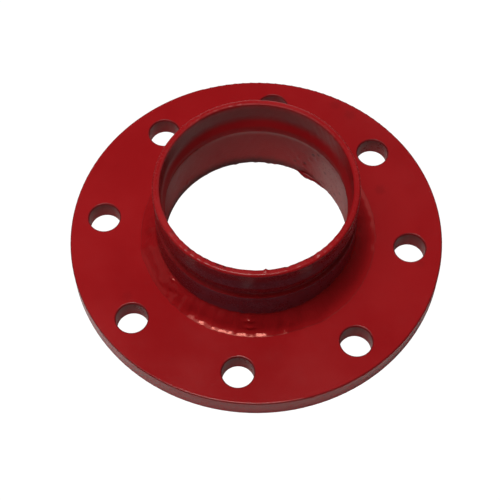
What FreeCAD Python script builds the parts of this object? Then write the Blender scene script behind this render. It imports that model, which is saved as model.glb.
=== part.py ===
import FreeCAD, Part
import math
import os

import Sketcher

# Grooved-end flange adapter, DN100.
#
# A flat steel flange with eight bolt holes is slipped over the back end of a
# short pipe nipple and fillet welded to it on both sides. The nipple's free
# end carries a rolled groove for a clamp-type pipe coupling.
#
# Frame: millimetres, +Z up. The origin is the centre of the flange's back
# (gasket) face. +Z runs along the pipe axis towards the grooved end. The bolt
# holes straddle the X and Y axes.

# Driving dimensions: alias, value (mm, degrees or a count), meaning.
SIZES = [
    ("flange_od", 215.0, "outside diameter of the flange"),
    ("flange_thk", 13.0, "thickness of the flange plate"),
    ("flange_bore", 116.0, "bore of the flange, slip fit over the pipe"),
    ("rim_round", 0.8, "rounding of the flange's two outer edges"),
    ("bolt_pcd", 178.0, "bolt circle diameter"),
    ("bolt_hole", 18.0, "bolt hole diameter"),
    ("bolt_count", 8, "number of bolt holes"),
    ("bolt_phase", 22.5, "angle of the first bolt hole from +X"),
    ("hole_round", 1.0, "rounding of the bolt holes' mouths"),
    ("pipe_od", 114.3, "outside diameter of the pipe nipple"),
    ("pipe_wall", 4.0, "wall thickness of the pipe nipple"),
    ("pipe_back", 5.6, "set-back of the pipe's back end from the flange face"),
    ("total_height", 65.0, "flange back face to grooved end"),
    ("seat_len", 15.88, "gasket seat, grooved end to groove"),
    ("groove_width", 8.74, "width of the rolled groove"),
    ("groove_dia", 110.08, "diameter at the bottom of the groove"),
    ("shoulder_round", 1.1, "rounding of the groove's two shoulders"),
    ("root_round", 0.8, "rounding of the groove's two bottom corners"),
    ("ridge_base", 15.8, "axial length of the rolled ridge at the inner wall"),
    ("ridge_crest", 2.8, "axial length of the ridge's crest"),
    ("ridge_foot_round", 6.0, "rounding where the ridge meets the inner wall"),
    ("ridge_crest_round", 5.0, "rounding of the ridge's crest edges"),
    ("lip_round_out", 1.5, "rounding of the grooved end's outer edge"),
    ("lip_round_in", 0.4, "rounding of the grooved end's inner edge"),
    ("weld_leg_pipe", 9.6, "outer weld, leg along the pipe"),
    ("weld_leg_plate", 9.2, "outer weld, leg along the flange, from the pipe wall"),
    ("weld_root", 1.5, "depth both welds run into the slip-fit gap"),
    ("weld_face", 16.0, "face radius of the outer weld, convex"),
    ("inner_weld_bore", 106.6, "smallest diameter of the inner weld"),
    ("inner_weld_toe", 0.4, "height of the inner weld's toe above the back face"),
    ("inner_weld_face", 12.0, "face radius of the inner weld, convex"),
]

# Radii and heights worked out in the sheet: alias, formula, meaning.
DERIVED = [
    ("flange_radius", "=flange_od / 2", "radius of the flange's rim"),
    ("bore_radius", "=flange_bore / 2", "radius of the flange's bore"),
    ("bolt_circle_radius", "=bolt_pcd / 2", "radius of the bolt circle"),
    ("pipe_outer_radius", "=pipe_od / 2", "outside of the pipe"),
    ("pipe_inner_radius", "=pipe_outer_radius - pipe_wall", "inside of the pipe"),
    ("groove_radius", "=groove_dia / 2", "bottom of the groove"),
    ("ridge_radius", "=groove_radius - pipe_wall", "crest of the ridge"),
    ("groove_top", "=total_height - seat_len", "groove side nearer the grooved end"),
    ("groove_bottom", "=groove_top - groove_width", "groove side nearer the flange"),
    ("groove_middle", "=groove_top - groove_width / 2", "middle of groove and ridge"),
    ("ridge_base_top", "=groove_middle + ridge_base / 2", "upper foot of the ridge"),
    ("ridge_crest_top", "=groove_middle + ridge_crest / 2", "upper edge of the crest"),
    ("ridge_crest_bottom", "=groove_middle - ridge_crest / 2", "lower edge of the crest"),
    ("ridge_base_bottom", "=groove_middle - ridge_base / 2", "lower foot of the ridge"),
    ("outer_weld_top", "=flange_thk + weld_leg_pipe", "outer weld's toe on the pipe"),
    ("outer_weld_radius", "=pipe_outer_radius + weld_leg_plate",
     "outer weld's toe on the flange"),
    ("outer_weld_root", "=flange_thk - weld_root", "outer weld's end in the gap"),
    ("inner_weld_radius", "=inner_weld_bore / 2", "inner weld's toe on the pipe end"),
    ("inner_weld_root", "=pipe_back + weld_root", "inner weld's end in the gap"),
]

# Half sections: (radius, height) of each corner, by alias.
# Rolling the groove pushes the wall inwards, so the inside carries a low
# ridge opposite the groove.
NIPPLE_SECTION = [
    ("pipe_inner_radius", "pipe_back"),
    ("pipe_outer_radius", "pipe_back"),
    ("pipe_outer_radius", "groove_bottom"),
    ("groove_radius", "groove_bottom"),
    ("groove_radius", "groove_top"),
    ("pipe_outer_radius", "groove_top"),
    ("pipe_outer_radius", "total_height"),
    ("pipe_inner_radius", "total_height"),
    ("pipe_inner_radius", "ridge_base_top"),
    ("ridge_radius", "ridge_crest_top"),
    ("ridge_radius", "ridge_crest_bottom"),
    ("pipe_inner_radius", "ridge_base_bottom"),
]

# In the corner between the pipe and the flange's hub side, with a short root
# in the slip-fit gap.
OUTER_WELD_SECTION = [
    ("pipe_outer_radius", "outer_weld_top"),
    ("pipe_outer_radius", "outer_weld_root"),
    ("bore_radius", "outer_weld_root"),
    ("bore_radius", "flange_thk"),
    ("outer_weld_radius", "flange_thk"),
]

# In the corner between the pipe's set-back end and the flange's bore, kept
# just above the back face and just outside the pipe's bore.
INNER_WELD_SECTION = [
    ("bore_radius", "inner_weld_toe"),
    ("bore_radius", "inner_weld_root"),
    ("pipe_outer_radius", "inner_weld_root"),
    ("pipe_outer_radius", "pipe_back"),
    ("inner_weld_radius", "pipe_back"),
]

# The nipple's fillets in order: name, rounding, edge radius, edge heights.
NIPPLE_ROUNDS = [
    ("RidgeFoot", "ridge_foot_round", "pipe_inner_radius",
     ["ridge_base_top", "ridge_base_bottom"]),
    ("RidgeCrest", "ridge_crest_round", "ridge_radius",
     ["ridge_crest_top", "ridge_crest_bottom"]),
    ("GrooveShoulders", "shoulder_round", "pipe_outer_radius",
     ["groove_top", "groove_bottom"]),
    ("GrooveRoots", "root_round", "groove_radius", ["groove_top", "groove_bottom"]),
    ("LipOuterEdge", "lip_round_out", "pipe_outer_radius", ["total_height"]),
    ("LipInnerEdge", "lip_round_in", "pipe_inner_radius", ["total_height"]),
]

EDGE_TOLERANCE = 1e-4  # mm, for recognising a circular edge
OVERLAP_LIMIT = 1e-3  # mm3 that two pieces may share

ORIGIN = FreeCAD.Vector(0, 0, 0)
UP = FreeCAD.Vector(0, 0, 1)

doc = FreeCAD.newDocument("GroovedFlangeAdapter")


def make_sheet():
    """Fill the Sizes sheet and return the value behind each alias."""
    sheet = doc.addObject("Spreadsheet::Sheet", "Sizes")
    for column, heading in zip("ABC", ("name", "value", "meaning")):
        sheet.set(column + "1", heading)
    for row, (alias, content, meaning) in enumerate(SIZES + DERIVED, start=2):
        sheet.set("A%d" % row, alias)
        sheet.set("B%d" % row, str(content))
        sheet.set("C%d" % row, meaning)
        sheet.setAlias("B%d" % row, alias)
    doc.recompute()
    return {entry[0]: float(sheet.get(entry[0])) for entry in SIZES + DERIVED}


SIZE = make_sheet()


# ------------------------------------------------------------------- helpers
def new_body(label):
    return doc.addObject("PartDesign::Body", label)


def new_sketch(body, name, role):
    """Sketch on the body's origin plane that has this role."""
    plane = next(feature for feature in body.Origin.OriginFeatures
                 if feature.Role == role)
    sketch = body.newObject("Sketcher::SketchObject", name)
    sketch.AttachmentSupport = [(plane, "")]
    sketch.MapMode = "FlatFace"
    return sketch


def constrain(sketch, kind, *args):
    return sketch.addConstraint(Sketcher.Constraint(kind, *args))


def bind(sketch, kind, place, value, expression):
    """Add a driving dimension and tie it to the sheet."""
    index = constrain(sketch, kind, *place, value)
    sketch.setExpression("Constraints[%d]" % index, expression)


def add_circle(sketch, centre, anchor, alias):
    """Circle of a diameter from the sheet, centred on the anchor point."""
    circle = Part.Circle(centre, UP, SIZE[alias] / 2)
    index = sketch.addGeometry(circle, False)
    constrain(sketch, "Coincident", index, 3, *anchor)
    bind(sketch, "Diameter", (index,), SIZE[alias], "Sizes." + alias)


def bulged_side(start, end, radius):
    """Counterclockwise arc from start to end, with its centre on the left."""
    chord = end - start
    normal = FreeCAD.Vector(-chord.y, chord.x, 0)
    normal.normalize()
    rise = math.sqrt(radius ** 2 - (chord.Length / 2) ** 2)
    centre = (start + end) * 0.5 + normal * rise
    angles = [math.atan2(point.y - centre.y, point.x - centre.x)
              for point in (start, end)]
    return Part.ArcOfCircle(Part.Circle(centre, UP, radius), *angles)


def revolve_section(body, sketch_name, name, corners, face=None):
    """Revolve a closed half section about Z.

    The sides are straight. If face names a radius, the closing side from the
    last corner to the first is a convex arc, and the corners must run
    counterclockwise. A side whose ends share an alias is held vertical or
    horizontal, so every dimension is stated once.
    """
    sketch = new_sketch(body, sketch_name, "XZ_Plane")
    count = len(corners)
    points = [FreeCAD.Vector(SIZE[radius], SIZE[height], 0)
              for radius, height in corners]
    for i in range(count):
        start, end = points[i], points[(i + 1) % count]
        if face and i == count - 1:
            side = bulged_side(start, end, SIZE[face])
        else:
            side = Part.LineSegment(start, end)
        sketch.addGeometry(side, False)
    for i in range(count):
        constrain(sketch, "Coincident", i, 2, (i + 1) % count, 1)
    if face:
        bind(sketch, "Radius", (count - 1,), SIZE[face], "Sizes." + face)
    for i, corner in enumerate(corners):
        before = (i - 1) % count
        for axis, straight, dimension in ((0, "Vertical", "DistanceX"),
                                          (1, "Horizontal", "DistanceY")):
            alias = corner[axis]
            if alias == corners[before][axis]:
                constrain(sketch, straight, before)
            else:
                bind(sketch, dimension, (-1, 1, i, 1), SIZE[alias], "Sizes." + alias)
    solid = body.newObject("PartDesign::Revolution", name)
    solid.Profile = sketch
    solid.ReferenceAxis = (sketch, ["V_Axis"])
    solid.Angle = 360
    doc.recompute()
    body.Tip = solid
    return solid


def circles_at(shape, radius, height, centre_radius):
    """Names of the circular edges of one radius at one height, whose centres
    lie centre_radius from the Z axis."""
    found = []
    for number, edge in enumerate(shape.Edges, start=1):
        curve = edge.Curve
        if not isinstance(curve, Part.Circle):
            continue
        centre = curve.Center
        errors = (curve.Radius - radius,
                  centre.z - height,
                  math.hypot(centre.x, centre.y) - centre_radius)
        if all(abs(error) < EDGE_TOLERANCE for error in errors):
            found.append("Edge%d" % number)
    return found


def round_circles(body, base, name, alias, radius, heights, centre_radius=0.0, per_height=1):
    """Fillet the circular edges at the given heights by the sheet's rounding."""
    edges = []
    for height in heights:
        edges += circles_at(base.Shape, radius, height, centre_radius)
    expected = per_height * len(heights)
    if len(edges) != expected:
        raise RuntimeError("%s: found %d edges, not %d" % (name, len(edges), expected))
    fillet = body.newObject("PartDesign::Fillet", name)
    fillet.Base = (base, edges)
    fillet.Radius = SIZE[alias]
    fillet.setExpression("Radius", "Sizes." + alias)
    doc.recompute()
    body.Tip = fillet
    return fillet


# -------------------------------------------------------------------- pieces
def bolt_hole_sketch(body):
    """The first bolt hole, at the end of its construction line."""
    sketch = new_sketch(body, "BoltHoleCentre", "XY_Plane")
    reach = SIZE["bolt_circle_radius"]
    phase = math.radians(SIZE["bolt_phase"])
    centre = FreeCAD.Vector(reach * math.cos(phase), reach * math.sin(phase), 0)
    sketch.addGeometry(Part.LineSegment(ORIGIN, centre), True)
    constrain(sketch, "Coincident", 0, 1, -1, 1)
    add_circle(sketch, centre, (0, 2), "bolt_hole")
    bind(sketch, "Distance", (0,), reach, "Sizes.bolt_circle_radius")
    bind(sketch, "Angle", (0,), phase, "Sizes.bolt_phase * 1 deg")
    return sketch


def make_flange():
    """Flat ring, bored to slip over the pipe, with its bolt holes."""
    body = new_body("flange_plate")
    ring = new_sketch(body, "FlangeRing", "XY_Plane")
    for alias in ("flange_od", "flange_bore"):
        add_circle(ring, ORIGIN, (-1, 1), alias)
    plate = body.newObject("PartDesign::Pad", "FlangePlate")
    plate.Profile = ring
    plate.Length = SIZE["flange_thk"]
    plate.setExpression("Length", "Sizes.flange_thk")
    doc.recompute()

    hole_sketch = bolt_hole_sketch(body)
    doc.recompute()
    drill = body.newObject("PartDesign::Pocket", "BoltHole")
    drill.Profile = hole_sketch
    drill.Type = "ThroughAll"
    drill.Reversed = True  # the plate lies above the sketch plane
    doc.recompute()

    bolt_count = int(SIZE["bolt_count"])
    holes = body.newObject("PartDesign::PolarPattern", "BoltHoles")
    holes.Originals = [drill]
    holes.Axis = (ring, ["N_Axis"])
    holes.Angle = 360
    holes.Occurrences = bolt_count
    holes.setExpression("Occurrences", "Sizes.bolt_count")
    body.Tip = holes
    doc.recompute()

    both_faces = (0, SIZE["flange_thk"])
    rim = round_circles(body, holes, "RimEdges", "rim_round",
                        SIZE["flange_radius"], both_faces)
    round_circles(body, rim, "HoleMouths", "hole_round", SIZE["bolt_hole"] / 2, both_faces,
                  centre_radius=SIZE["bolt_circle_radius"], per_height=bolt_count)
    return body


def make_nipple():
    """Pipe with the rolled groove, the ridge inside it and rounded lips."""
    body = new_body("grooved_nipple")
    solid = revolve_section(body, "RolledWall", "RolledTube", NIPPLE_SECTION)
    for name, rounding, radius, heights in NIPPLE_ROUNDS:
        solid = round_circles(body, solid, name, rounding, SIZE[radius],
                              [SIZE[height] for height in heights])
    return body


def make_weld(label, corners, face):
    """Weld bead all round the pipe, with a convex face."""
    body = new_body(label)
    revolve_section(body, label + "_section", label + "_bead", corners, face)
    return body


# -------------------------------------------------------------------- export
def find_problems(bodies):
    problems = []
    for obj in doc.Objects:
        if "Invalid" in obj.State or "Error" in obj.State:
            problems.append("%s is %s" % (obj.Name, obj.State))
        if obj.TypeId == "Sketcher::SketchObject":
            if obj.solve() != 0:
                problems.append("%s does not solve" % obj.Name)
            if not obj.FullyConstrained:
                problems.append("%s is not fully constrained" % obj.Name)
    for i, body in enumerate(bodies):
        shape = body.Shape
        if shape.isNull() or not shape.isValid() or len(shape.Solids) != 1:
            problems.append("%s has no single valid solid" % body.Label)
        for other in bodies[i + 1:]:
            if shape.common(other.Shape).Volume > OVERLAP_LIMIT:
                problems.append("%s and %s overlap" % (body.Label, other.Label))
    return problems


pieces = [
    make_flange(),
    make_nipple(),
    make_weld("outer_fillet_weld", OUTER_WELD_SECTION, "weld_face"),
    make_weld("inner_fillet_weld", INNER_WELD_SECTION, "inner_weld_face"),
]
doc.recompute()
faults = find_problems(pieces)
if faults:
    raise RuntimeError("; ".join(faults))

os.makedirs("parts", exist_ok=True)
for piece in pieces:
    piece.Shape.exportStep("parts/%s.step" % piece.Label)
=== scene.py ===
# A red-painted pipe flange: a flat plate with bolt holes, a short grooved pipe nipple
# standing on it, and a weld bead outside and inside the pipe's foot.
# The common axis is Z through the origin; the plate lies on the floor at z = 0.
# Sizes are in millimetres unless noted. Azimuths are in degrees in the camera's frame:
# 0 is to the right, 90 away from the camera, -90 towards it.
import math

import bpy
import numpy as np
from mathutils import Matrix, Vector


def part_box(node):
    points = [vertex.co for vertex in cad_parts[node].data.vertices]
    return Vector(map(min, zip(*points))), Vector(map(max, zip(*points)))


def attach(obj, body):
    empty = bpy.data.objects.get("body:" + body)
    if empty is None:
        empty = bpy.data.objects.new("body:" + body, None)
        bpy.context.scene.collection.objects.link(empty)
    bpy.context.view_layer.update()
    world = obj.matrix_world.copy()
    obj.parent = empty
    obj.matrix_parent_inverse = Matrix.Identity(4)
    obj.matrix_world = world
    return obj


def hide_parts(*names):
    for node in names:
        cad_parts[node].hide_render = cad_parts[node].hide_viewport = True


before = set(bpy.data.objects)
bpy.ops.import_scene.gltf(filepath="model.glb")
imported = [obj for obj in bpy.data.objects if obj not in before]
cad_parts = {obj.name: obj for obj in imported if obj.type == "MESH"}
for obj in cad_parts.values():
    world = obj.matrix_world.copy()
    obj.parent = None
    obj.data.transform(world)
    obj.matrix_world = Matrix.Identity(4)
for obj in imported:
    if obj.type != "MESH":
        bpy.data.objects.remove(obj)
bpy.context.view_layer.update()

MM = 0.001
TURN = math.radians(-16.268)      # how far the object is turned under the camera


def box_mm(node_name):
    """The lowest and highest corner of a CAD piece."""
    return [np.array(corner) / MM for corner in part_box(node_name)]


nipple_low, nipple_high = box_mm("grooved_nipple")
PLATE_TOP = float(box_mm("flange_plate")[1][2])
WALL = 4.0                        # the pipe's wall
PIPE_R = float(nipple_high[0])
PIPE_IN = PIPE_R - WALL
TOP = float(nipple_high[2])
FOOT = float(nipple_low[2])       # the pipe's lower end
BORE_R = 58.0                     # the plate's bore


# ------------------------------------------------------------ angles and noise
def heading(azimuth):
    """Cosine and sine, in the object's frame, of an azimuth in the camera's."""
    angle = math.radians(azimuth) + TURN
    return math.cos(angle), math.sin(angle)


def wrap(angle):
    """An angle brought between minus and plus half a turn."""
    return (angle + math.pi) % (2 * math.pi) - math.pi


def turn_angles(count):
    return np.linspace(0, 2 * math.pi, count, endpoint=False)


def smooth_noise(count, features, seed):
    """A periodic, smooth random curve of count samples, about -1 to 1."""
    rng = np.random.default_rng(seed)
    theta = turn_angles(count)
    curve = np.zeros(count)
    total = 0.0
    for k in range(1, features + 1):
        share = 1.0 / k
        curve += share * np.sin(k * theta + rng.uniform(0, 2 * math.pi)) * rng.uniform(0.5, 1.0)
        total += share * share * 0.3
    return curve / math.sqrt(total) / 1.6


def band_noise(count, low, high, seed):
    """A periodic random curve holding only waves between two counts per turn."""
    rng = np.random.default_rng(seed)
    theta = turn_angles(count)
    curve = np.zeros(count)
    waves = np.unique(np.linspace(low, high, 14).astype(int))
    for k in waves:
        curve += np.sin(k * theta + rng.uniform(0, 2 * math.pi)) * rng.uniform(0.4, 1.0)
    return curve / (0.55 * math.sqrt(len(waves)))


def skin_noise(theta, run, turns, waves, seed, count=18):
    """Smooth random relief over a turned surface: waves per turn, and waves
    per millimetre along the section."""
    rng = np.random.default_rng(seed)
    relief = np.zeros((len(theta), len(run)))
    for _ in range(count):
        k = int(rng.integers(turns[0], turns[1] + 1))
        wave = rng.uniform(waves[0], waves[1]) * rng.choice([-1, 1])
        relief += np.sin(k * theta[:, None] + 2 * math.pi * wave * run
                         + rng.uniform(0, 2 * math.pi))
    return relief / math.sqrt(count * 0.5) / 1.5


def hill(azimuths, centre, width):
    """A smooth hill of height 1; centre and width in degrees."""
    return np.exp(-(wrap(azimuths - math.radians(centre)) / math.radians(width)) ** 2)


def stretch(degrees, start, start_fade, end, end_fade):
    """1 between two azimuths, fading to 0 past each."""
    return (1 / (1 + np.exp(-(degrees - start) / start_fade))
            / (1 + np.exp((degrees - end) / end_fade)))


def mound(azimuths, section_r, section_z, azimuth, r, z, width, height, tall=1.0):
    """A small mound on a turned skin, at an azimuth, radius and height."""
    away = wrap(azimuths[:, None] - math.radians(azimuth))
    distance = ((away * r / width) ** 2 + ((section_r - r) / width) ** 2
                + ((section_z - z) / (width * tall)) ** 2)
    return height * np.exp(-distance)


# ---------------------------------------------------------------- turned meshes
def revolve(name, theta, r, z):
    """A closed ring of quads from radii and heights of shape [turn, section]."""
    points = np.stack([r * np.cos(theta)[:, None], r * np.sin(theta)[:, None], z], -1)
    verts = (points.reshape(-1, 3) * MM).astype(np.float32)
    turns, length = r.shape
    i = np.arange(turns)[:, None]
    j = np.arange(length)[None, :]
    here, ahead = i * length, (i + 1) % turns * length
    j_next = (j + 1) % length
    faces = np.stack([here + j, ahead + j, ahead + j_next, here + j_next], -1).reshape(-1, 4)
    mesh = bpy.data.meshes.new(name)
    mesh.vertices.add(len(verts))
    mesh.vertices.foreach_set("co", verts.ravel())
    mesh.loops.add(faces.size)
    mesh.loops.foreach_set("vertex_index", faces.ravel().astype(np.int32))
    mesh.polygons.add(len(faces))
    mesh.polygons.foreach_set("loop_start", (np.arange(len(faces)) * 4).astype(np.int32))
    mesh.polygons.foreach_set("use_smooth", np.ones(len(faces), bool))
    mesh.update(calc_edges=True)
    mesh.validate()

    # the faces must enclose a positive volume
    corners = verts.astype(float)[faces]
    volume = 0.0
    for b, c in ((1, 2), (2, 3)):
        volume += np.sum(corners[:, 0] * np.cross(corners[:, b], corners[:, c]))
    if volume < 0:
        mesh.flip_normals()
    piece = bpy.data.objects.new(name, mesh)
    bpy.context.scene.collection.objects.link(piece)
    return piece


def rounded_section(outline, step, arc_step):
    """Points round a closed section, from rows of r, z and fillet radius."""
    corners = [np.array(row[:2], float) for row in outline]
    count = len(corners)
    arcs = []
    for i in range(count):
        corner, fillet = corners[i], outline[i][2]
        back = corners[i - 1] - corner
        back = back / np.linalg.norm(back)
        ahead = corners[(i + 1) % count] - corner
        ahead = ahead / np.linalg.norm(ahead)
        opening = math.acos(float(np.clip(back @ ahead, -1, 1)))
        reach = fillet / math.tan(opening / 2)
        middle = (back + ahead) / np.linalg.norm(back + ahead)
        centre = corner + middle * fillet / math.sin(opening / 2)
        first, last = corner + back * reach - centre, corner + ahead * reach - centre
        start = math.atan2(first[1], first[0])
        sweep = wrap(math.atan2(last[1], last[0]) - start)
        arc_count = max(3, int(abs(sweep) * fillet / arc_step) + 2)
        angles = start + sweep * np.linspace(0, 1, arc_count)
        arcs.append(centre + fillet * np.stack([np.cos(angles), np.sin(angles)], 1))
    points = []
    for i in range(count):
        points.extend(arcs[i])
        start, end = arcs[i][-1], arcs[(i + 1) % count][0]
        parts = int(np.linalg.norm(end - start) / step)
        for k in range(1, parts + 1):
            points.append(start + (end - start) * k / (parts + 1))
    return np.array(points)


def section_normals(section):
    """Unit normals of a closed section, pointing out of the metal."""
    along = np.roll(section, -1, 0) - np.roll(section, 1, 0)
    normals = np.stack([along[:, 1], -along[:, 0]], 1)
    normals /= np.linalg.norm(normals, axis=1)[:, None]
    r, z = section[:, 0], section[:, 1]
    area = 0.5 * np.sum(r * np.roll(z, -1) - np.roll(r, -1) * z)
    return normals if area > 0 else -normals


# ----------------------------------------------------------------------- nipple
GROOVE_R = 55.04
GROOVE_TOP = TOP - 15.88
GROOVE_WIDTH = 8.74
GROOVE_FOOT = GROOVE_TOP - GROOVE_WIDTH
GROOVE_MID = GROOVE_TOP - GROOVE_WIDTH / 2
GROOVE_LEAN = 0.8                 # half the height each groove side leans over
RIDGE_R = GROOVE_R - WALL         # the ridge inside, behind the groove

# r, z, fillet radius
NIPPLE_OUTLINE = [
    (PIPE_IN, FOOT, 0.3), (PIPE_R, FOOT, 0.3),
    (PIPE_R, GROOVE_FOOT - GROOVE_LEAN, 2.4), (GROOVE_R, GROOVE_FOOT + GROOVE_LEAN, 2.3),
    (GROOVE_R, GROOVE_TOP - GROOVE_LEAN, 2.3), (PIPE_R, GROOVE_TOP + GROOVE_LEAN, 2.4),
    (PIPE_R, TOP, 1.5), (PIPE_IN, TOP, 0.4),
    (PIPE_IN, GROOVE_MID + 7.9, 14.0), (RIDGE_R, GROOVE_MID + 1.4, 5.5),
    (RIDGE_R, GROOVE_MID - 1.4, 5.5), (PIPE_IN, GROOVE_MID - 7.9, 14.0)]

# spatter painted over, on the inside wall: azimuth, z, width, height
SPATTER = [
    (58.5, 15.5, 1.2, 0.55), (53.5, 24.5, 1.1, 0.50), (48.5, 29.5, 1.3, 0.42),
    (43.0, 9.0, 1.2, 0.60), (34.5, 8.5, 1.0, 0.55), (51.5, 11.0, 0.9, 0.45),
    (28.0, 9.5, 1.1, 0.45), (62.0, 20.5, 0.9, 0.35), (140.0, 12.0, 1.0, 0.35),
    (-150.0, 14.0, 1.1, 0.40), (-60.0, 22.0, 1.0, 0.35), (-20.0, 30.0, 0.9, 0.30)]

# burrs and nicks on the upper end: azimuth, r, width, height
END_BURRS = [
    (126.5, 54.4, 1.3, 0.42), (99.5, 54.6, 1.4, 0.16), (113.0, 54.5, 1.6, 0.14),
    (-84.5, 53.2, 0.8, 0.75), (-72.0, 53.3, 1.1, -0.45), (-52.0, 55.0, 1.2, 0.20),
    (-140.0, 54.2, 1.0, -0.30), (20.0, 55.2, 1.3, 0.22), (160.0, 54.0, 1.0, -0.25)]


def nipple_skin():
    """The rolled pipe, with a crowned lip, soft groove corners, burrs and spatter."""
    turns = 560
    theta = turn_angles(turns)
    azimuths = theta - TURN
    section = rounded_section(NIPPLE_OUTLINE, step=1.15, arc_step=0.34)
    normals = section_normals(section)
    r, z = section[:, 0], section[:, 1]
    lengths = np.linalg.norm(np.diff(section, axis=0), axis=1)
    run = np.concatenate([[0], np.cumsum(lengths)])
    outside = np.clip((r - 54.6) / 0.8, 0, 1) * (z < TOP - 0.6)
    inside = np.clip((54.0 - r) / 0.8, 0, 1) * (z < TOP - 1.2)
    end_face = np.clip((z - (TOP - 1.2)) / 0.9, 0, 1)

    push = 0.020 * skin_noise(theta, run, turns=(3, 22), waves=(0.0, 0.10), seed=71)
    push += 0.010 * skin_noise(theta, run, turns=(20, 60), waves=(0.05, 0.22), seed=72)
    # the rolls leave faint rings round the outside, the paint sags between them
    rings = np.sin(2 * math.pi * z / 3.1 + 0.6) * 0.018
    sags = 0.035 * skin_noise(theta, run, turns=(8, 46), waves=(0.0, 0.06), seed=73)
    push += (rings + sags) * outside
    # inside: streaky paint, coarser on the side where the spatter is
    streaks = skin_noise(theta, run, turns=(24, 72), waves=(0.03, 0.12), seed=74, count=26)
    push += (0.016 + 0.050 * hill(azimuths, 38, 30)[:, None]) * streaks * inside
    for azimuth, height_at, width, height in SPATTER:
        push += mound(azimuths, r, z, azimuth, PIPE_IN, height_at, width, height, tall=1.5)
    # the cut end: a little lower at its inner edge, by an uneven amount
    slope = np.clip((PIPE_IN + 1.9 - r) / 1.9, 0, 1) ** 1.3
    fall = 0.10 + 0.06 * smooth_noise(turns, 9, seed=75) + 0.30 * hill(azimuths, 110, 17)
    fall = fall * (1 - 0.7 * hill(azimuths, -90, 50))
    push -= np.outer(fall, slope * end_face)
    push += np.outer(0.05 * band_noise(turns, 30, 90, seed=76), end_face)
    for azimuth, radius_at, width, height in END_BURRS:
        push += mound(azimuths, r, z, azimuth, radius_at, TOP - 0.2, width, height)
    return revolve("nipple_skin", theta, r + push * normals[:, 0], z + push * normals[:, 1])


# ------------------------------------------------------------------- weld beads
# Face angles of the outer bead in degrees, from the plate toe to the pipe toe, at
# fractions of the face's length. The bead drifts between these four sections.
FACE_STATIONS = [0, 0.04, 0.10, 0.24, 0.40, 0.58, 0.75, 0.87, 0.91, 0.97, 1.0]
LOW_TOE_STATIONS = [0, 0.06, 0.18, 0.29, 0.44, 0.60, 0.75, 0.87, 0.91, 0.97, 1.0]
LEDGE_ANGLES = [30, 33, 40, 50, 54, 49, 36, 25, 34, 76, 86]   # a ledge under the pipe toe
PLAIN_ANGLES = [28, 33, 42, 52, 53, 49, 44, 42, 50, 80, 86]
LOW_TOE_ANGLES = [4, 8, 18, 46, 60, 52, 44, 42, 50, 80, 86]   # a long low toe
HOLLOW_ANGLES = [5, 8, 15, 33, 48, 53, 55, 56, 62, 80, 86]    # runs out thin on the plate

# where ripples interrupt the low toe: azimuth, width, share taken away
TOE_BREAKS = [(-120.3, 1.3, 0.34), (-112.6, 1.0, 0.18), (-100.2, 1.3, 0.36),
              (-94.0, 0.9, 0.18), (-84.2, 1.2, 0.34), (-80.2, 2.2, 0.70)]

# where one run of weld stops and the next starts:
# azimuth, width and growth of the legs, width and height of the lump
RESTARTS = [(-168, 5, 0.8, 4, 0.55), (-58, 5, 0.5, 4, 0.30),
            (38, 6, 0.9, 5, 0.7), (118, 5, 0.6, 4, 0.45)]

# single mounds and pits: azimuth, place on the face, width in degrees,
# width along the face, height
BEAD_MOUNDS = [
    (-93.0, 0.40, 2.8, 0.060, 0.85), (-93.6, 0.66, 2.6, 0.055, 0.75),
    (-143.5, 0.82, 2.0, 0.070, 0.60), (-140.0, 0.34, 1.8, 0.10, -0.42),
    (-136.5, 0.50, 1.4, 0.09, -0.30), (-148.0, 0.30, 2.0, 0.10, 0.30),
    (-72.0, 0.40, 1.8, 0.10, 0.22), (12.0, 0.45, 1.8, 0.10, 0.35),
    (75.0, 0.40, 2.0, 0.12, -0.30), (150.0, 0.50, 1.8, 0.10, 0.32)]


def weld_profile(angles, stations, steps):
    """Integrates face angles into a unit section: x and y, each 0 to 1, from
    one toe to the other."""
    angle = np.interp(np.linspace(0, 1, steps), stations, angles)
    # smooth the angle curve so that the section has no kinks
    for _ in range(2):
        angle[1:-1] = (angle[:-2] + angle[1:-1] + angle[2:]) / 3
    coordinates = []
    for rate in (np.cos(np.radians(angle)), np.sin(np.radians(angle))):
        total = np.concatenate([[0], np.cumsum((rate[1:] + rate[:-1]) / 2)])
        coordinates.append(total / total[-1])
    return coordinates


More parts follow.
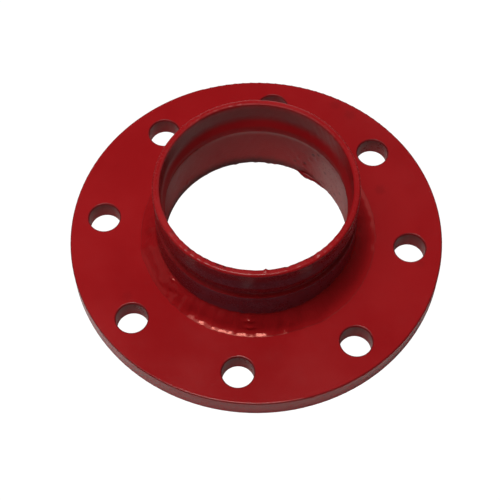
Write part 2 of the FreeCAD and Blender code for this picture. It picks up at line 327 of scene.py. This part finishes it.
def outer_weld():
    """The bead between the plate's top and the pipe's outside."""
    turns, steps = 1200, 50
    theta = turn_angles(turns)
    azimuths = theta - TURN
    degrees = np.degrees(wrap(azimuths))
    s = np.linspace(0, 1, steps)            # 0 at the plate toe, 1 at the pipe toe

    # how much of each section there is round the turn
    low_toe = stretch(degrees, start=-125.6, start_fade=0.5, end=-74.6, end_fade=0.6)
    for azimuth, width, share in TOE_BREAKS:
        low_toe *= 1 - share * hill(azimuths, azimuth, width)
    hollow = stretch(degrees, start=-56, start_fade=5.0, end=50, end_fade=6.0)
    near_side = np.clip(1.35 * hill(azimuths, -101, 24), 0, 1)
    ledge = np.clip(0.35 + 0.35 * smooth_noise(turns, 6, seed=13)
                    + 0.9 * hill(azimuths, -134, 16), 0, 1)

    def blend(ledged, plain, low_toed, hollowed):
        mixed = np.outer(ledge, ledged) + np.outer(1 - ledge, plain)
        mixed = np.outer(hollow, hollowed) + (1 - hollow)[:, None] * mixed
        return np.outer(low_toe, low_toed) + (1 - low_toe)[:, None] * mixed

    sections = [weld_profile(angles, stations, steps) for angles, stations in (
        (LEDGE_ANGLES, FACE_STATIONS), (PLAIN_ANGLES, FACE_STATIONS),
        (LOW_TOE_ANGLES, LOW_TOE_STATIONS), (HOLLOW_ANGLES, FACE_STATIONS))]
    x, y = (blend(*coordinates) for coordinates in zip(*sections))

    plate_leg = (9.9 + 0.5 * near_side + 0.5 * low_toe + 2.6 * hollow
                 + 0.30 * smooth_noise(turns, 8, seed=11)
                 + 0.08 * band_noise(turns, 38, 74, seed=12))
    pipe_leg = (9.2 + 1.0 * hollow + 0.55 * smooth_noise(turns, 7, seed=21)
                + 0.18 * band_noise(turns, 30, 60, seed=22))
    for azimuth, width, growth, _, _ in RESTARTS:
        plate_leg += growth * hill(azimuths, azimuth, width)
        pipe_leg += 0.8 * growth * hill(azimuths, azimuth + 2, width * 1.3)
    r = PIPE_R + plate_leg[:, None] * (1 - x)
    z = PLATE_TOP + pipe_leg[:, None] * y

    # ripples: crescents across the face, with an uneven pitch; they run out
    # on to the plate as a scalloped toe
    phase = 2 * math.pi * 71 * (theta / (2 * math.pi)) + 2.6 * smooth_noise(turns, 14, seed=31)
    fine_phase = (2 * math.pi * 228 * (theta / (2 * math.pi))
                  + 2.2 * smooth_noise(turns, 18, seed=32))
    lag = 1.9 * ((s - 0.45) / 0.5) ** 2
    fade = np.clip(np.sin(math.pi * s) * 1.7, 0, 1)
    near_toe = np.exp(-((s - 0.16) / 0.09) ** 2)
    depth = 0.050 * (0.80 + 0.50 * smooth_noise(turns, 9, seed=33))
    depth = depth * (0.45 + 0.45 * near_side)
    ripple = depth[:, None] * np.sin(phase[:, None] - lag) * (0.35 + 0.65 * fade + 0.4 * near_toe)
    ripple += 0.012 * np.sin(fine_phase[:, None] - 2.2 * lag) * (fade * (s > 0.25))

    # low lumps along the bead, and where it overlaps its start
    arch = np.sin(math.pi * s)
    lump = np.outer(0.09 * band_noise(turns, 14, 34, seed=41), arch ** 2)
    lump += np.outer(0.06 * band_noise(turns, 16, 40, seed=42), np.sin(2 * math.pi * s))
    for azimuth, _, _, width, height in RESTARTS:
        dip = hill(azimuths, azimuth - 1.7 * width, width * 0.7)
        # the far toe's sine can fall a hair below zero, which has no such power
        lump += np.outer(height * (hill(azimuths, azimuth, width) - 0.75 * dip),
                         np.maximum(arch, 0) ** 1.5)
    toe_fade = np.clip(np.minimum(s / 0.06, (1 - s) / 0.08), 0, 1)
    push = (ripple + lump) * toe_fade
    for azimuth, place, width, face_width, height in BEAD_MOUNDS:
        push += np.outer(height * hill(azimuths, azimuth, width),
                         np.exp(-((s - place) / face_width) ** 2))

    # push along the section's outward normal
    r_rate = np.gradient(r, axis=1)
    z_rate = np.gradient(z, axis=1)
    rate = np.hypot(r_rate, z_rate)
    r = r + push * z_rate / rate
    z = z - push * r_rate / rate
    # the first rings dive under the plate, so the toe runs out without a step
    z = np.maximum(z, PLATE_TOP - 0.03) - 0.10 * np.clip(1 - s / 0.10, 0, 1)
    # close the section under the plate's and the pipe's skins
    sink = 0.35
    under_pipe = np.full((turns, 1), PIPE_R - sink)
    under_plate = np.full((turns, 1), PLATE_TOP - sink)
    r = np.concatenate([r, under_pipe, under_pipe, r[:, :1] - 1.2], 1)
    z = np.concatenate([z, z[:, -1:] - 1.2, under_plate, under_plate], 1)
    return revolve("outer_weld_bead", theta, r, z)


def inner_weld():
    """The bead between the plate's bore and the pipe's lower inner edge."""
    turns, steps = 1000, 30
    theta = turn_angles(turns)
    azimuths = theta - TURN
    s = np.linspace(0, 1, steps)            # 0 at the bore's toe, 1 at the pipe's edge
    toe_z = (0.75 + 0.22 * smooth_noise(turns, 11, seed=51)
             + 0.10 * band_noise(turns, 30, 60, seed=52))
    toe_z = np.clip(toe_z, 0.3, None)
    lip_r = (PIPE_IN + 0.16 + 0.12 * smooth_noise(turns, 10, seed=53)
             + (0.07 + 0.16 * hill(azimuths, 140, 45)) * band_noise(turns, 26, 70, seed=54))
    # a lump of weld metal that hangs into the bore: abrupt on one side and
    # drawn out on the other
    away = np.degrees(wrap(azimuths - math.radians(56.0)))
    hang = np.where(away > 0, np.clip(1 - away / 8.5, 0, 1), np.clip(1 + away / 24.0, 0, 1))
    hang = np.where(away > 0, hang * hang * (3 - 2 * hang), hang ** 1.6)
    hang = np.convolve(np.concatenate([hang[-4:], hang, hang[:4]]), np.ones(9) / 9, "valid")
    lip_r = lip_r - 2.1 * hang - 0.12 * hill(azimuths, 80, 5)
    lip_z = FOOT + 0.45 + 0.15 * smooth_noise(turns, 8, seed=55)

    toe_r = np.full(turns, BORE_R - 0.02)
    r_span, z_span = lip_r - toe_r, lip_z - toe_z
    span = np.hypot(r_span, z_span)
    r_normal, z_normal = -z_span / span, r_span / span
    downward = np.where(z_normal > 0, -1.0, 1.0)
    r_normal, z_normal = r_normal * downward, z_normal * downward

    arch = np.sin(math.pi * s)
    bulge = 0.75 + 0.2 * smooth_noise(turns, 9, seed=56) + 0.9 * hang
    phase = 2 * math.pi * 88 * (theta / (2 * math.pi)) + 1.5 * smooth_noise(turns, 12, seed=57)
    ripple = 0.10 * np.sin(phase[:, None] - 2.0 * ((s - 0.5) / 0.5) ** 2) * arch
    lump = np.outer(0.16 * band_noise(turns, 16, 40, seed=58), arch)
    push = np.outer(bulge, arch ** 0.8) + ripple + lump
    r = toe_r[:, None] + np.outer(r_span, s) + r_normal[:, None] * push
    z = toe_z[:, None] + np.outer(z_span, s) + z_normal[:, None] * push
    z = np.clip(z, 0.12, None)

    # rounded top edge of the part that stands inside the pipe's end
    def ring(value):
        return np.full((turns, 1), value)

    lift = 0.9 * hang[:, None]
    r = np.concatenate([r, np.minimum(lip_r[:, None] + 0.25, PIPE_IN + 0.6),
                        ring(PIPE_IN + 0.9), ring(PIPE_R - 0.3),
                        ring(BORE_R + 0.30), ring(BORE_R + 0.30)], 1)
    z = np.concatenate([z, ring(FOOT + 1.05) + lift, ring(FOOT + 1.0) + lift,
                        ring(FOOT + 0.75), ring(FOOT + 0.75), z[:, :1] + 0.35], 1)
    return revolve("inner_weld_bead", theta, r, z)


# ------------------------------------------------------------------ node graphs
class Graph:
    """The emptied node tree of a material or world, with short ways to add to it."""

    def __init__(self, owner):
        owner.use_nodes = True
        self.tree = owner.node_tree
        self.tree.nodes.clear()

    def put(self, socket, value):
        """Links a socket to an input, or sets the input's value."""
        if isinstance(value, bpy.types.NodeSocket):
            self.tree.links.new(value, socket)
        elif socket.type == "RGBA":
            socket.default_value = (*value, 1.0)
        else:
            socket.default_value = value

    def add(self, kind, inputs=None, **properties):
        node = self.tree.nodes.new(kind)
        for key, value in properties.items():
            setattr(node, key, value)
        for key, value in (inputs or {}).items():
            self.put(node.inputs[key], value)
        return node

    def math(self, operation, *values, clamp=False):
        return self.add("ShaderNodeMath", dict(enumerate(values)),
                        operation=operation, use_clamp=clamp).outputs[0]

    def mul(self, product, *factors):
        for factor in factors:
            product = self.math("MULTIPLY", product, factor)
        return product

    def vector(self, operation, *vectors, output="Value"):
        return self.add("ShaderNodeVectorMath", dict(enumerate(vectors)),
                        operation=operation).outputs[output]

    def along(self, position, azimuth):
        """How far a position lies towards an azimuth."""
        return self.vector("DOT_PRODUCT", position, (*heading(azimuth), 0.0))

    def z_of(self, vector):
        return self.add("ShaderNodeSeparateXYZ", {0: vector}).outputs["Z"]

    def remap(self, value, over, to=(0.0, 1.0)):
        """A smooth step across one range, giving the ends of another."""
        return self.add("ShaderNodeMapRange", {
            "Value": value, "From Min": over[0], "From Max": over[1],
            "To Min": to[0], "To Max": to[1]}, interpolation_type="SMOOTHSTEP").outputs[0]

    def mix_colours(self, factor, first, second):
        # the colour sockets of a mix node are inputs 6 and 7 and output 2
        return self.add("ShaderNodeMix", {0: factor, 6: first, 7: second},
                        data_type="RGBA").outputs[2]

    def mix_floats(self, factor, first, second):
        return self.add("ShaderNodeMix", {0: factor, 2: first, 3: second},
                        data_type="FLOAT").outputs[0]

    def mix_shaders(self, factor, first, second):
        return self.add("ShaderNodeMixShader",
                        {"Fac": factor, 1: first.outputs[0], 2: second.outputs[0]}).outputs[0]

    def camera_switch(self, lit, seen):
        """One shader for the camera's own rays and another for all the rest."""
        path = self.add("ShaderNodeLightPath")
        return self.mix_shaders(path.outputs["Is Camera Ray"], lit, seen)


# ------------------------------------------------------------------------ paint
RED_TONE = (0.395, 0.0098, 0.0132)
# dark red for painted shade in the bore, and for soot
SOOT_AND_SHADE = (0.050, 0.006, 0.007)
# pale pink for a painted reflection along the ridge's foot, and for dust with painted light
PALE_DUST_AND_GLEAM = (0.46, 0.25, 0.24)


def scaled(tone, *factors):
    return tuple(c * factor for c, factor in zip(tone, factors))


class Coat(Graph):
    """A coat of red enamel, built up step by step; positions are in millimetres."""

    def __init__(self, name, tone=RED_TONE):
        self.material = bpy.data.materials.new(name)
        super().__init__(self.material)
        self.tone = tone
        coordinates = self.add("ShaderNodeTexCoord").outputs["Object"]
        self.position = self.add("ShaderNodeVectorMath", {0: coordinates, "Scale": 1000.0},
                                 operation="SCALE").outputs[0]
        self.normal = self.add("ShaderNodeNewGeometry").outputs["Normal"]
        flat = self.vector("MULTIPLY", self.position, (1.0, 1.0, 0.0), output="Vector")
        self.radius = self.vector("LENGTH", flat)
        self.broad = self.noise(scale=0.020, detail=3.0, roughness=0.5)
        self.patch = self.noise(scale=0.11, detail=4.0, roughness=0.6, distortion=0.4)
        self.grainy = self.noise(scale=0.9, detail=3.0, roughness=0.6)

    def noise(self, scale, detail, roughness, distortion=0.0):
        return self.add("ShaderNodeTexNoise", {
            "Scale": scale, "Detail": detail, "Roughness": roughness,
            "Distortion": distortion, "Vector": self.position}).outputs["Fac"]

    def cover(self, mask, colour, strength=None):
        """Lays a colour over the coat where the mask is."""
        if strength is not None:
            mask = self.mul(mask, strength)
        self.colour = self.mix_colours(mask, self.colour, colour)

    def level(self):
        """1 on flat faces, 0 on upright ones."""
        return self.math("ABSOLUTE", self.z_of(self.normal))

    def bevel_edge(self, width):
        """Edges: where a rounded normal departs from the true one."""
        bevel = self.add("ShaderNodeBevel", {"Radius": width * MM}, samples=4)
        match = self.vector("DOT_PRODUCT", bevel.outputs[0], self.normal)
        return self.remap(match, over=(0.995, 0.86))

    def base(self, edge, dirt, chips, drift):
        """Even enamel with faint drift, a little dust, darker edges."""
        self.edge, self.drift = edge, drift
        deep = scaled(self.tone, *(1 - drift * k for k in (0.22, 0.45, 0.40)))
        light = scaled(self.tone, *(1 + drift * k for k in (0.14, 0.50, 0.40)))
        self.colour = self.mix_colours(self.remap(self.broad, over=(0.32, 0.68)), deep, light)
        self.cover(self.remap(self.patch, over=(0.45, 0.80)), deep, strength=0.5 * drift)
        self.cover(self.remap(self.grainy, over=(0.35, 0.75)), deep, strength=0.22 * drift)
        self.cover(self.remap(self.patch, over=(0.60, 0.85)), (0.26, 0.12, 0.10),
                   strength=0.05 * dirt)
        grime = self.mul(self.remap(self.grainy, over=(0.66, 0.76)),
                         self.remap(self.patch, over=(0.50, 0.66)))
        self.cover(grime, (0.045, 0.010, 0.010), strength=0.75 * dirt)
        chip_noise = self.noise(scale=0.55, detail=4.0, roughness=0.7)
        chipped = self.mul(edge, self.remap(chip_noise, over=(0.60, 0.66)))
        self.chip = self.math("MULTIPLY", chipped, chips, clamp=True)
        self.cover(self.chip, (0.035, 0.022, 0.020))
        self.cover(edge, scaled(self.tone, 0.40, 0.9, 0.9), strength=0.42)

    def pipe_core(self, amount):
        """The mask of what lies within the pipe's bore."""
        return self.mul(self.remap(self.radius, over=(53.6, 55.0), to=(1.0, 0.0)), amount)

    def shade_and_dull_core(self, core):
        """Inner walls: painted shade darkens their colour, and their coat is duller."""
        self.core = core
        # painted shade inside the bore and on the bolt-hole walls
        self.cover(core, scaled(self.tone, 0.35, 0.6, 0.7), strength=0.18)
        self.sheen = self.math("SUBTRACT", 1.0, self.mul(core, 0.25))

    def smudges_and_shade(self, marks):
        """Single dark marks, smudges and nicks, and on the inner bead painted shade: azimuth, r,
        z, size, strength.
        """
        smudge_and_shade = None
        for azimuth, r, z, size, strength in marks:
            cosine, sine = heading(azimuth)
            distance = self.vector("DISTANCE", self.position, (r * cosine, r * sine, z))
            grain = self.math("SUBTRACT", self.grainy, 0.5)
            ragged = self.math("ADD", distance, self.mul(grain, 1.6 * size))
            mark = self.remap(ragged, over=(size * 0.45, size * 1.15), to=(strength, 0.0))
            smudge_and_shade = mark if smudge_and_shade is None else self.math("MAXIMUM", smudge_and_shade, mark)
        self.cover(smudge_and_shade, (0.040, 0.007, 0.008))

    def gloss(self, rough):
        """Roughness: wiped and sprayed areas differ a little; chips and edges are dull."""
        total = self.remap(self.broad, over=(0.30, 0.70), to=(rough - 0.03, rough + 0.03))
        for part in (self.remap(self.patch, over=(0.40, 0.75), to=(0.0, 0.08 * self.drift)),
                     self.remap(self.grainy, over=(0.40, 0.80), to=(-0.02, 0.04)),
                     self.mul(self.edge, 0.22),
                     self.mul(self.core, 0.12)):
            total = self.math("ADD", total, part)
        return self.math("ADD", total, self.mul(self.chip, 0.35), clamp=True)

    def bump(self, height, distance, below=None):
        inputs = {"Strength": 1.0, "Distance": distance * MM, "Height": height}
        if below is not None:
            inputs["Normal"] = below
        return self.add("ShaderNodeBump", inputs).outputs[0]

    def relief(self, wave, peel, core_peel):
        """Slow waviness, orange peel (stronger in the core), fine dust nibs."""
        waves = self.bump(self.noise(scale=0.055, detail=2.0, roughness=0.5), distance=wave)
        peel_height = self.mul(self.noise(scale=0.75, detail=2.0, roughness=0.5),
                               self.math("ADD", 1.0, self.mul(self.core, core_peel)))
        peeled = self.bump(peel_height, distance=peel, below=waves)
        nibs = self.remap(self.noise(scale=2.6, detail=2.0, roughness=0.5), over=(0.70, 0.80))
        nib_height = self.math("SUBTRACT", nibs, self.mul(self.chip, 2.0))
        return self.bump(nib_height, distance=0.03, below=peeled)

    def finish(self, rough, wave, shine=0.27, peel=0.020, core_peel=3.0,
               tint=(1.0, 1.0, 1.0), lost_shine=None):
        """Adds the shaders; where shine is lost the coat is plain matt."""
        normal = self.relief(wave, peel, core_peel)
        enamel = self.add("ShaderNodeBsdfPrincipled", {
            "Base Color": self.colour, "Roughness": self.gloss(rough), "IOR": 1.5,
            "Specular IOR Level": self.mul(self.sheen, shine), "Coat Weight": 0.0,
            "Specular Tint": tint, "Normal": normal}, name="enamel")
        surface = enamel.outputs[0]
        if lost_shine is not None:
            matt = self.add("ShaderNodeBsdfDiffuse", {"Color": self.colour, "Normal": normal})
            surface = self.mix_shaders(lost_shine, enamel, matt)
        self.add("ShaderNodeOutputMaterial", {"Surface": surface})
        return self.material


# smudges on each piece: azimuth, r, z, size, strength
PLATE_MARKS = [(21.9, 78.5, 13.0, 3.6, 0.16), (62.1, 102.2, 13.0, 3.6, 0.14),
               (55.6, 100.5, 13.0, 3.8, 0.14), (-150.0, 84.0, 13.0, 3.2, 0.10),
               (-12.0, 96.0, 13.0, 3.0, 0.10)]
PIPE_MARKS = [
    (51.6, PIPE_IN, 31.3, 1.5, 0.70), (47.8, PIPE_IN, 34.6, 1.3, 0.55),
    (64.5, PIPE_IN, 15.4, 1.3, 0.45), (57.3, PIPE_IN, 17.7, 1.6, 0.50),
    (41.0, PIPE_IN, 22.2, 1.4, 0.45), (24.9, PIPE_IN, 20.2, 1.2, 0.60),
    (30.0, PIPE_IN, 12.0, 1.3, 0.50), (131.0, PIPE_IN, 39.0, 1.8, 0.45),
    (-84.5, 53.0, 64.6, 0.9, 0.85), (-73.0, 53.4, 64.4, 1.2, 0.70),
    (-66.0, 53.4, 64.5, 0.9, 0.60), (-120.0, 53.6, 64.6, 0.9, 0.45),
    (-112.0, 54.0, 64.7, 1.3, 0.60), (-108.0, 54.1, 64.7, 1.0, 0.55),
    (-131.0, 54.2, 64.6, 1.5, 0.50), (-57.0, 54.0, 64.6, 1.4, 0.45),
    (-146.0, 54.2, 64.6, 1.4, 0.40)]
# the inner bead's dark marks, smudges and painted shade along the bore's foot, all lie at one r
# and z: azimuth, size, strength
INNER_WELD_SMUDGES_AND_SHADE = [(azimuth, 54.0, 4.5, size, strength) for azimuth, size, strength in (
    (172, 6.0, 0.70), (160, 7.0, 0.75), (147, 6.5, 0.70), (133, 6.5, 0.75), (120, 5.0, 0.60),
    (108, 4.0, 0.55), (86, 5.0, 0.60), (-165, 6.0, 0.6), (-60, 6.0, 0.5), (10, 4.0, 0.5))]


def plate_paint():
    coat = Coat("paint_plate")
    remap, mul = coat.remap, coat.mul
    level = coat.level()
    # the plate is flat, upright or rounded, so its normals tell its edges
    edge = mul(remap(level, over=(0.02, 0.25)), remap(level, over=(0.995, 0.93)))
    coat.base(edge, dirt=0.25, chips=0.30, drift=0.30)

    def within_rim():
        return remap(coat.radius, over=(103.0, 104.0), to=(1.0, 0.0))

    hole_walls = mul(within_rim(), remap(level, over=(0.30, 0.05)), 1.0)
    coat.shade_and_dull_core(hole_walls)
    # painted shade round the mouths of the holes, which are also duller there
    mouth_shade = mul(within_rim(), remap(level, over=(0.997, 0.97)),
                remap(coat.z_of(coat.position), over=(5.0, 12.4), to=(0.0, 0.28)))
    coat.cover(mouth_shade, (0.040, 0.008, 0.010))
    coat.sheen = mul(coat.sheen, coat.math("SUBTRACT", 1.0, mul(mouth_shade, 0.75)))
    coat.smudges_and_shade(PLATE_MARKS)
    return coat.finish(rough=0.19, wave=0.10, core_peel=0.0)


def pipe_wall_shade(coat):
    """Painted shade makes the upright outside wall darker than the lip; on its near side a
    painted reflection lays a pale haze.
    """
    remap, mul = coat.remap, coat.mul
    wall_shade = mul(remap(coat.radius, over=(54.4, 56.0)), remap(coat.level(), over=(0.60, 0.15)),
               remap(coat.z_of(coat.position), over=(TOP - 10.0, TOP - 4.0), to=(1.0, 0.35)))
    coat.cover(wall_shade, scaled(coat.tone, 0.25, 1.3, 1.4), strength=0.55)
    # painted reflection: a pale haze on the wall's near side
    painted_reflection_haze = mul(remap(coat.along(coat.position, -72), over=(10.0, 50.0)), wall_shade,
               remap(coat.patch, over=(0.30, 0.70), to=(0.45, 0.85)))
    coat.cover(painted_reflection_haze, scaled(coat.tone, 0.56, 7.0, 7.4))


def pipe_smoke_and_shade(coat, z):
    """Painted shade and weld smoke low down inside, heavier on the side away from the key light.
    """
    remap, mul = coat.remap, coat.mul
    low = coat.math("ADD", z, mul(coat.math("SUBTRACT", coat.patch, 0.5), 5.0))
    shaded_side = remap(coat.along(coat.position, 140), over=(-20.0, 35.0), to=(0.25, 0.85))
    smoke_and_shade = remap(low, over=(FOOT + 1.2, FOOT + 9.0), to=(1.0, 0.0))
    coat.cover(mul(smoke_and_shade, shaded_side, coat.core), SOOT_AND_SHADE)


def pipe_lost_shine(coat, z):
    """Where the thin coat inside is too coarse to shine."""
    remap, mul = coat.remap, coat.mul
    facing = coat.add("ShaderNodeLayerWeight", {"Blend": 0.5}).outputs["Facing"]
    grazing = remap(facing, over=(0.70, 0.93), to=(0.0, 0.88))
    # on one side above the ridge's foot it is coarser still
    coarse = mul(remap(coat.along(coat.position, 165), over=(22.0, 46.0)),
                 remap(z, over=(33.0, 40.0)),
                 remap(facing, over=(0.52, 0.80), to=(0.0, 0.85)))
    # and opposite it the lip's inside is bare of dust and of shine
    bare = mul(remap(coat.along(coat.position, -8), over=(34.0, 50.0)),
               remap(z, over=(36.0, 43.0), to=(0.0, 0.92)))
    # the ridge itself was rubbed by the roll
    rubbed = mul(remap(z, over=(39.2, 41.6), to=(0.0, 0.72)),
                 remap(z, over=(49.0, 52.0), to=(1.0, 0.0)))
    for area in (bare, rubbed):
        coarse = coat.math("MAXIMUM", coarse, area)
    return mul(coat.math("MAXIMUM", grazing, coarse), coat.core)


def pipe_dust_and_painted_light(coat, z):
    remap, mul = coat.remap, coat.mul
    # painted shade between ridge and lip on the far side
    seat_shade = mul(remap(z, over=(49.0, 53.0), to=(0.0, 0.36)),
               remap(z, over=(60.0, 63.5), to=(1.0, 0.0)),
               remap(coat.along(coat.position, 108), over=(14.0, 42.0)), coat.core)
    coat.cover(seat_shade, SOOT_AND_SHADE)
    # painted reflection: a pale line along the ridge's foot
    line = mul(remap(z, over=(35.8, 38.0), to=(0.0, 0.27)), remap(z, over=(40.6, 38.6)),
               coat.core)
    coat.cover(line, PALE_DUST_AND_GLEAM)
    # dust and painted light low down inside, on the side the key light falls on, and dark specks
    # in it
    toward_lit_wall = coat.along(coat.position, 20)
    dust_and_painted_light = mul(remap(toward_lit_wall, over=(42.0, 52.0)), remap(z, over=(30.0, 42.0), to=(1.0, 0.0)),
                  coat.core, remap(coat.patch, over=(0.25, 0.75), to=(0.35, 0.62)))
    coat.cover(dust_and_painted_light, PALE_DUST_AND_GLEAM)
    specks = mul(remap(coat.grainy, over=(0.58, 0.68)), remap(toward_lit_wall, over=(30.0, 46.0)),
                 coat.core, remap(z, over=(36.0, 46.0), to=(0.55, 0.0)))
    coat.cover(specks, (0.050, 0.008, 0.010))


def pipe_paint():
    coat = Coat("paint_pipe")
    coat.base(coat.bevel_edge(width=0.8), dirt=0.50, chips=0.45, drift=0.50)
    coat.shade_and_dull_core(coat.pipe_core(amount=1.0))
    pipe_wall_shade(coat)
    z = coat.z_of(coat.position)
    pipe_smoke_and_shade(coat, z)
    lost_shine = pipe_lost_shine(coat, z)
    pipe_dust_and_painted_light(coat, z)
    coat.smudges_and_shade(PIPE_MARKS)
    return coat.finish(rough=0.27, wave=0.05, shine=0.24, lost_shine=lost_shine)


def outer_weld_paint():
    coat = Coat("paint_weld")
    coat.base(coat.bevel_edge(width=1.1), dirt=0.30, chips=0.0, drift=0.35)
    coat.shade_and_dull_core(coat.pipe_core(amount=0.0))
    return coat.finish(rough=0.16, wave=0.02, shine=0.55, peel=0.006, tint=(1.0, 0.42, 0.35))


def inner_weld_paint():
    # a darker tone: painted shade of the crevice at the pipe's foot, with burnt paint
    coat = Coat("paint_inner_weld", tone=(0.27, 0.0060, 0.0090))
    coat.base(coat.bevel_edge(width=1.1), dirt=1.0, chips=0.0, drift=0.8)
    coat.shade_and_dull_core(coat.pipe_core(amount=0.0))
    coat.smudges_and_shade(INNER_WELD_SMUDGES_AND_SHADE)
    return coat.finish(rough=0.34, wave=0.05, peel=0.04)


# --------------------------------------------------------------------- assembly
def dress(piece, material):
    if piece.material_slots:
        for slot in piece.material_slots:
            slot.link = "OBJECT"
            slot.material = material
    else:
        piece.data.materials.append(material)


dress(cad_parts["flange_plate"], plate_paint())

for build, make_paint, replaced in (
        (nipple_skin, pipe_paint, "grooved_nipple"),
        (outer_weld, outer_weld_paint, "outer_fillet_weld"),
        (inner_weld, inner_weld_paint, "inner_fillet_weld")):
    piece = build()
    dress(piece, make_paint())
    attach(piece, "root")
    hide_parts(replaced)


# -------------------------------------------------------------- floor and world
WHITE = (1.0, 1.0, 1.0)
SEEN_GLOW = 1.05                  # the plain white the camera sees all round


def floor_material():
    """Plain white to the camera. What the object sees is a bright sheet, darker further out, with
    painted shadows under the plate and to the left under the bore."""
    material = bpy.data.materials.new("floor_white")
    graph = Graph(material)
    remap = graph.remap
    # positions and ranges here are in metres
    position = graph.add("ShaderNodeTexCoord").outputs["Object"]
    radius = graph.vector("LENGTH", position)
    under_bore = remap(graph.along(position, 0), over=(-0.045, 0.035), to=(0.80, 1.0))
    under_plate, around_plate = 0.78, 0.90
    shade = graph.mix_floats(remap(radius, over=(0.058, 0.066)), under_bore, under_plate)
    shade = graph.mix_floats(remap(radius, over=(0.100, 0.108)), shade, around_plate)
    shade = graph.mul(shade, remap(radius, over=(0.118, 0.175), to=(1.0, 0.11)))
    matt = graph.add("ShaderNodeBsdfDiffuse", {"Color": shade}, name="floor_matt")
    seen = graph.add("ShaderNodeEmission", {"Color": WHITE, "Strength": SEEN_GLOW},
                     name="floor_seen")
    graph.add("ShaderNodeOutputMaterial", {"Surface": graph.camera_switch(matt, seen)})
    return material


def pale_floor():
    cells = 40
    size, z = 6.0, -0.0002        # metres; just below the plate
    line = np.linspace(-size / 2, size / 2, cells + 1)
    x, y = np.meshgrid(line, line, indexing="ij")
    verts = np.stack([x, y, np.full_like(x, z)], -1).reshape(-1, 3)
    index = np.arange((cells + 1) ** 2).reshape(cells + 1, cells + 1)
    faces = np.stack([index[:-1, :-1], index[1:, :-1], index[1:, 1:], index[:-1, 1:]], -1)
    mesh = bpy.data.meshes.new("floor")
    mesh.from_pydata(verts.tolist(), [], faces.reshape(-1, 4).tolist())
    mesh.update()
    floor = bpy.data.objects.new("floor", mesh)
    bpy.context.scene.collection.objects.link(floor)
    mesh.materials.append(floor_material())


def soft_world():
    """A faint glow, and for low cameras the floor's white behind its edge."""
    world = bpy.data.worlds.new("soft_world")
    bpy.context.scene.world = world
    graph = Graph(world)
    glow = graph.add("ShaderNodeBackground", {"Color": WHITE, "Strength": 0.03},
                     name="world_glow")
    seen = graph.add("ShaderNodeBackground", {"Color": WHITE, "Strength": SEEN_GLOW},
                     name="backdrop_seen")
    graph.add("ShaderNodeOutputWorld", {"Surface": graph.camera_switch(glow, seen)})


pale_floor()
soft_world()


# ----------------------------------------------------------------------- lights
# name, azimuth, elevation (degrees), width (metres), radiant power (watts)
SOFTBOXES = [
    ("overhead", 165.0, 86.0, 0.38, 8.1),
    ("key_left", 188.0, 70.0, 0.50, 1.75),
    ("low_left", 225.0, 38.0, 0.60, 1.05),
    ("back_left", 135.0, 38.0, 0.60, 0.75),
    ("back_right", 62.0, 38.0, 0.60, 0.80),
    ("back_low", 90.0, 18.0, 0.80, 2.5),
    ("left_low", 180.0, 18.0, 0.80, 0.45),
    ("front_high", 262.0, 70.0, 0.50, 0.35),
]
LIGHT_TARGET = Vector((0, 0, 0.02))         # metres
LIGHT_DISTANCE = 1.3                        # metres
WARM = (1.0, 0.88, 0.82)
# fills shape the walls but leave no spark on the enamel
FILLS = ("low_left", "front_high")


def softbox(name, azimuth, elevation, width, power):
    cosine, sine = heading(azimuth)
    rise = math.radians(elevation)
    direction = Vector((math.cos(rise) * cosine, math.cos(rise) * sine, math.sin(rise)))
    data = bpy.data.lights.new(name, "AREA")
    data.shape = "SQUARE"
    data.size = width
    data.energy = power
    data.color = WARM if name == "overhead" else WHITE
    light = bpy.data.objects.new(name, data)
    light.location = LIGHT_TARGET + direction * LIGHT_DISTANCE
    light.rotation_euler = direction.to_track_quat("Z", "Y").to_euler()
    light.visible_glossy = name not in FILLS
    bpy.context.scene.collection.objects.link(light)


for row in SOFTBOXES:
    softbox(*row)


# ----------------------------------------------------------------------- camera
CAMERA_DISTANCE = 800.8535 * MM             # from the origin
CAMERA_ELEVATION = math.radians(60.287)
CAMERA_LENS = 98.15616
SENSOR_WIDTH = 36.0
# small turns off the line to the origin, in radians
YAW, PITCH, ROLL = 0.0045, -0.0048, -0.0044


def rotated(vector, axis, angle):
    """A vector turned about a unit axis."""
    return (vector * math.cos(angle) + np.cross(axis, vector) * math.sin(angle)
            + axis * np.dot(axis, vector) * (1 - math.cos(angle)))


def add_camera():
    place = np.array([0, -CAMERA_DISTANCE * math.cos(CAMERA_ELEVATION),
                      CAMERA_DISTANCE * math.sin(CAMERA_ELEVATION)])
    forward = -place / np.linalg.norm(place)
    right = np.array([1.0, 0, 0])
    up = np.cross(right, forward)
    forward, right = rotated(forward, up, YAW), rotated(right, up, YAW)
    forward, up = rotated(forward, right, PITCH), rotated(up, right, PITCH)
    right, up = rotated(right, forward, ROLL), rotated(up, forward, ROLL)
    matrix = Matrix.Identity(4)
    for i in range(3):
        matrix[i][:] = right[i], up[i], -forward[i], place[i]
    data = bpy.data.cameras.new("camera")
    data.sensor_fit = "HORIZONTAL"
    data.sensor_width = SENSOR_WIDTH
    data.lens = CAMERA_LENS
    data.clip_start = 0.01
    data.clip_end = 50.0
    camera = bpy.data.objects.new("camera", data)
    camera.matrix_world = Matrix.Rotation(TURN, 4, "Z") @ matrix
    bpy.context.scene.collection.objects.link(camera)
    bpy.context.scene.camera = camera


add_camera()
bpy.context.scene.view_settings.view_transform = "Standard"
bpy.context.scene.view_settings.look = "None"
